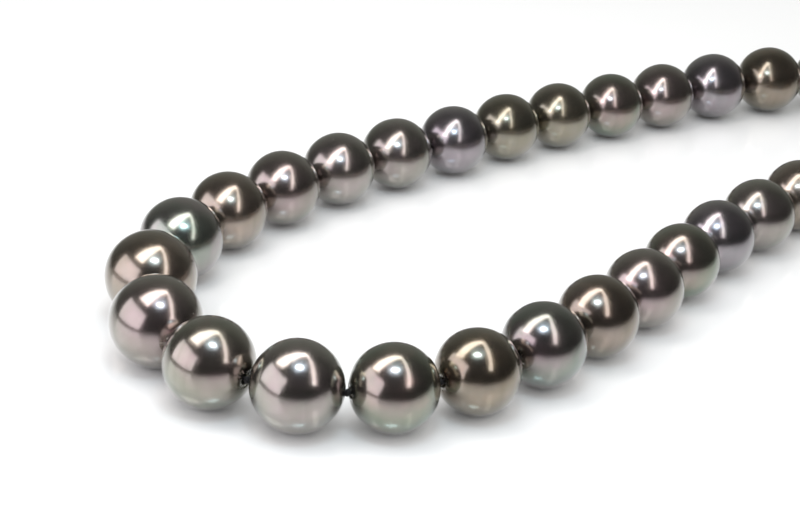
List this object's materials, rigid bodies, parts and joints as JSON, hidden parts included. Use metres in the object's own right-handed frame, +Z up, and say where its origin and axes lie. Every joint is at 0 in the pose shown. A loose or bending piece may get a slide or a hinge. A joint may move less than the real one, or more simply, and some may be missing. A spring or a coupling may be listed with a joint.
{
  "type": "pearl necklace",
  "caption": "Graduated single strand of glossy dark grey-green cultured pearls, knotted on black silk, laid open with its ball clasp undone",
  "frame": {"origin": "middle of the strand's footprint, on the table it lies on", "axes": "X along the loop from the centre pearl to the clasp, Y across the loop, Z up"},
  "size_m": [0.2192, 0.077, 0.0138],
  "materials": {
    "pearl": "polished",
    "silk": "matte",
    "coil_wire": "satin",
    "white_gold": "polished",
    "spring_gold": "satin"
  },
  "bodies": {
    "centre": {"pearl_17_centre": "pearl", "silk_thread": "silk"},
    "bead_16": {"pearl_16": "pearl"},
    "bead_15": {"pearl_15": "pearl"},
    "bead_14": {"pearl_14": "pearl"},
    "bead_13": {"pearl_13": "pearl"},
    "bead_12": {"pearl_12": "pearl"},
    "bead_11": {"pearl_11": "pearl"},
    "bead_10": {"pearl_10": "pearl"},
    "bead_09": {"pearl_09": "pearl"},
    "bead_08": {"pearl_08": "pearl"},
    "bead_07": {"pearl_07": "pearl"},
    "bead_06": {"pearl_06": "pearl"},
    "bead_05": {"pearl_05": "pearl"},
    "bead_04": {"pearl_04": "pearl"},
    "bead_03": {"pearl_03": "pearl"},
    "bead_02": {"pearl_02": "pearl"},
    "bead_01": {"pearl_01": "pearl", "coil_ball_side": "coil_wire"},
    "bead_18": {"pearl_18": "pearl"},
    "bead_19": {"pearl_19": "pearl"},
    "bead_20": {"pearl_20": "pearl"},
    "bead_21": {"pearl_21": "pearl"},
    "bead_22": {"pearl_22": "pearl"},
    "bead_23": {"pearl_23": "pearl"},
    "bead_24": {"pearl_24": "pearl"},
    "bead_25": {"pearl_25": "pearl"},
    "bead_26": {"pearl_26": "pearl"},
    "bead_27": {"pearl_27": "pearl"},
    "bead_28": {"pearl_28": "pearl"},
    "bead_29": {"pearl_29": "pearl"},
    "bead_30": {"pearl_30": "pearl"},
    "bead_31": {"pearl_31": "pearl"},
    "bead_32": {"pearl_32": "pearl"},
    "bead_33": {"pearl_33": "pearl", "coil_tongue_side": "coil_wire"},
    "ball": {"ball_ring": "white_gold", "ball_back_shell": "white_gold", "ball_front_shell": "white_gold"},
    "tongue": {"tongue_ring": "white_gold", "tongue_plate": "white_gold"},
    "leaf": {"tongue_leaf": "spring_gold", "thumb_tab": "white_gold"}
  },
  "joints": [
    {"name": "knot_16_17", "type": "hinge", "parent": "centre", "child": "bead_16", "pos_m": [-0.10067, 0.01046, 0.00682], "axis": [0, 0, 1], "range_deg": [-3, 41], "deforming": ["silk_thread"]},
    {"name": "knot_15_16", "type": "hinge", "parent": "bead_16", "child": "bead_15", "pos_m": [-0.0905, 0.02063, 0.00674], "axis": [0, 0, 1], "range_deg": [-3, 29], "deforming": ["silk_thread"]},
    {"name": "knot_14_15", "type": "hinge", "parent": "bead_15", "child": "bead_14", "pos_m": [-0.07835, 0.02709, 0.00648], "axis": [0, 0, 1], "range_deg": [-3, 26], "deforming": ["silk_thread"]},
    {"name": "knot_13_14", "type": "hinge", "parent": "bead_14", "child": "bead_13", "pos_m": [-0.0654, 0.03032, 0.00632], "axis": [0, 0, 1], "range_deg": [-3, 19], "deforming": ["silk_thread"]},
    {"name": "knot_12_13", "type": "hinge", "parent": "bead_13", "child": "bead_12", "pos_m": [-0.05237, 0.03192, 0.00626], "axis": [0, 0, 1], "range_deg": [-3, 16], "deforming": ["silk_thread"]},
    {"name": "knot_11_12", "type": "hinge", "parent": "bead_12", "child": "bead_11", "pos_m": [-0.03928, 0.03261, 0.00625], "axis": [0, 0, 1], "range_deg": [-3, 20], "deforming": ["silk_thread"]},
    {"name": "knot_10_11", "type": "hinge", "parent": "bead_11", "child": "bead_10", "pos_m": [-0.02624, 0.03146, 0.00622], "axis": [0, 0, 1], "range_deg": [-3, 9], "deforming": ["silk_thread"]},
    {"name": "knot_09_10", "type": "hinge", "parent": "bead_10", "child": "bead_09", "pos_m": [-0.01327, 0.03101, 0.00616], "axis": [0, 0, 1], "range_deg": [-3, 12], "deforming": ["silk_thread"]},
    {"name": "knot_08_09", "type": "hinge", "parent": "bead_09", "child": "bead_08", "pos_m": [-0.00043, 0.03056, 0.00612], "axis": [0, 0, 1], "range_deg": [-3, 18], "deforming": ["silk_thread"]},
    {"name": "knot_07_08", "type": "hinge", "parent": "bead_08", "child": "bead_07", "pos_m": [0.01229, 0.02878, 0.00611], "axis": [0, 0, 1], "range_deg": [-3, 13], "deforming": ["silk_thread"]},
    {"name": "knot_06_07", "type": "hinge", "parent": "bead_07", "child": "bead_06", "pos_m": [0.02495, 0.02677, 0.00615], "axis": [0, 0, 1], "range_deg": [-3, 11], "deforming": ["silk_thread"]},
    {"name": "knot_05_06", "type": "hinge", "parent": "bead_06", "child": "bead_05", "pos_m": [0.03782, 0.02496, 0.0063], "axis": [0, 0, 1], "range_deg": [-3, 15], "deforming": ["silk_thread"]},
    {"name": "knot_04_05", "type": "hinge", "parent": "bead_05", "child": "bead_04", "pos_m": [0.05096, 0.02241, 0.00646], "axis": [0, 0, 1], "range_deg": [-3, 24], "deforming": ["silk_thread"]},
    {"name": "knot_03_04", "type": "hinge", "parent": "bead_04", "child": "bead_03", "pos_m": [0.06353, 0.01707, 0.00633], "axis": [0, 0, 1], "range_deg": [-3, 8], "deforming": ["silk_thread"]},
    {"name": "knot_02_03", "type": "hinge", "parent": "bead_03", "child": "bead_02", "pos_m": [0.07568, 0.01289, 0.00602], "axis": [0, 0, 1], "range_deg": [-3, 16], "deforming": ["silk_thread"]},
    {"name": "knot_01_02", "type": "hinge", "parent": "bead_02", "child": "bead_01", "pos_m": [0.08712, 0.00803, 0.00586], "axis": [0, 0, 1], "range_deg": [-3, 24], "deforming": ["silk_thread"]},
    {"name": "knot_17_18", "type": "hinge", "parent": "centre", "child": "bead_18", "pos_m": [-0.10456, -0.00309, 0.00664], "axis": [0, 0, 1], "range_deg": [-41, 3], "deforming": ["silk_thread"]},
    {"name": "knot_18_19", "type": "hinge", "parent": "bead_18", "child": "bead_19", "pos_m": [-0.10148, -0.01642, 0.00654], "axis": [0, 0, 1], "range_deg": [-41, 3], "deforming": ["silk_thread"]},
    {"name": "knot_19_20", "type": "hinge", "parent": "bead_19", "child": "bead_20", "pos_m": [-0.09234, -0.02658, 0.00643], "axis": [0, 0, 1], "range_deg": [-38, 3], "deforming": ["silk_thread"]},
    {"name": "knot_20_21", "type": "hinge", "parent": "bead_20", "child": "bead_21", "pos_m": [-0.08006, -0.03154, 0.00627], "axis": [0, 0, 1], "range_deg": [-28, 3], "deforming": ["silk_thread"]},
    {"name": "knot_21_22", "type": "hinge", "parent": "bead_21", "child": "bead_22", "pos_m": [-0.0671, -0.0329, 0.00626], "axis": [0, 0, 1], "range_deg": [-24, 3], "deforming": ["silk_thread"]},
    {"name": "knot_22_23", "type": "hinge", "parent": "bead_22", "child": "bead_23", "pos_m": [-0.05396, -0.03152, 0.00628], "axis": [0, 0, 1], "range_deg": [-14, 3], "deforming": ["silk_thread"]},
    {"name": "knot_23_24", "type": "hinge", "parent": "bead_23", "child": "bead_24", "pos_m": [-0.041, -0.0297, 0.00622], "axis": [0, 0, 1], "range_deg": [-16, 3], "deforming": ["silk_thread"]},
    {"name": "knot_24_25", "type": "hinge", "parent": "bead_24", "child": "bead_25", "pos_m": [-0.02831, -0.027, 0.00613], "axis": [0, 0, 1], "range_deg": [-16, 3], "deforming": ["silk_thread"]},
    {"name": "knot_25_26", "type": "hinge", "parent": "bead_25", "child": "bead_26", "pos_m": [-0.01605, -0.02349, 0.00605], "axis": [0, 0, 1], "range_deg": [-5, 3], "deforming": ["silk_thread"]},
    {"name": "knot_26_27", "type": "hinge", "parent": "bead_26", "child": "bead_27", "pos_m": [-0.00357, -0.02151, 0.00606], "axis": [0, 0, 1], "range_deg": [-8, 3], "deforming": ["silk_thread"]},
    {"name": "knot_27_28", "type": "hinge", "parent": "bead_27", "child": "bead_28", "pos_m": [0.0092, -0.02039, 0.00613], "axis": [0, 0, 1], "range_deg": [-12, 3], "deforming": ["silk_thread"]},
    {"name": "knot_28_29", "type": "hinge", "parent": "bead_28", "child": "bead_29", "pos_m": [0.02205, -0.01927, 0.0061], "axis": [0, 0, 1], "range_deg": [-6, 3], "deforming": ["silk_thread"]},
    {"name": "knot_29_30", "type": "hinge", "parent": "bead_29", "child": "bead_30", "pos_m": [0.03473, -0.01949, 0.00599], "axis": [0, 0, 1], "range_deg": [-5, 3], "deforming": ["silk_thread"]},
    {"name": "knot_30_31", "type": "hinge", "parent": "bead_30", "child": "bead_31", "pos_m": [0.04708, -0.02123, 0.00595], "axis": [0, 0, 1], "range_deg": [-8, 3], "deforming": ["silk_thread"]},
    {"name": "knot_31_32", "type": "hinge", "parent": "bead_31", "child": "bead_32", "pos_m": [0.05935, -0.02383, 0.00589], "axis": [0, 0, 1], "range_deg": [-15, 3], "deforming": ["silk_thread"]},
    {"name": "knot_32_33", "type": "hinge", "parent": "bead_32", "child": "bead_33", "pos_m": [0.07143, -0.02575, 0.00581], "axis": [0, 0, 1], "range_deg": [-24, 3], "deforming": ["silk_thread"]},
    {"name": "ball_swivel", "type": "hinge", "parent": "bead_01", "child": "ball", "pos_m": [0.09958, -0.00069, 0.0055], "axis": [0, 0, 1], "range_deg": [-20, 30]},
    {"name": "tongue_swivel", "type": "hinge", "parent": "bead_33", "child": "tongue", "pos_m": [0.08647, -0.02479, 0.0053], "axis": [0, 0, 1], "range_deg": [-25, 20]},
    {"name": "leaf_press", "type": "hinge", "parent": "tongue", "child": "leaf", "pos_m": [0.09567, -0.02266, 0.00115], "axis": [-0.225, 0.9744, 0], "range_deg": [-11, 0], "stiffness_Nm_per_rad": 0.02}
  ]
}
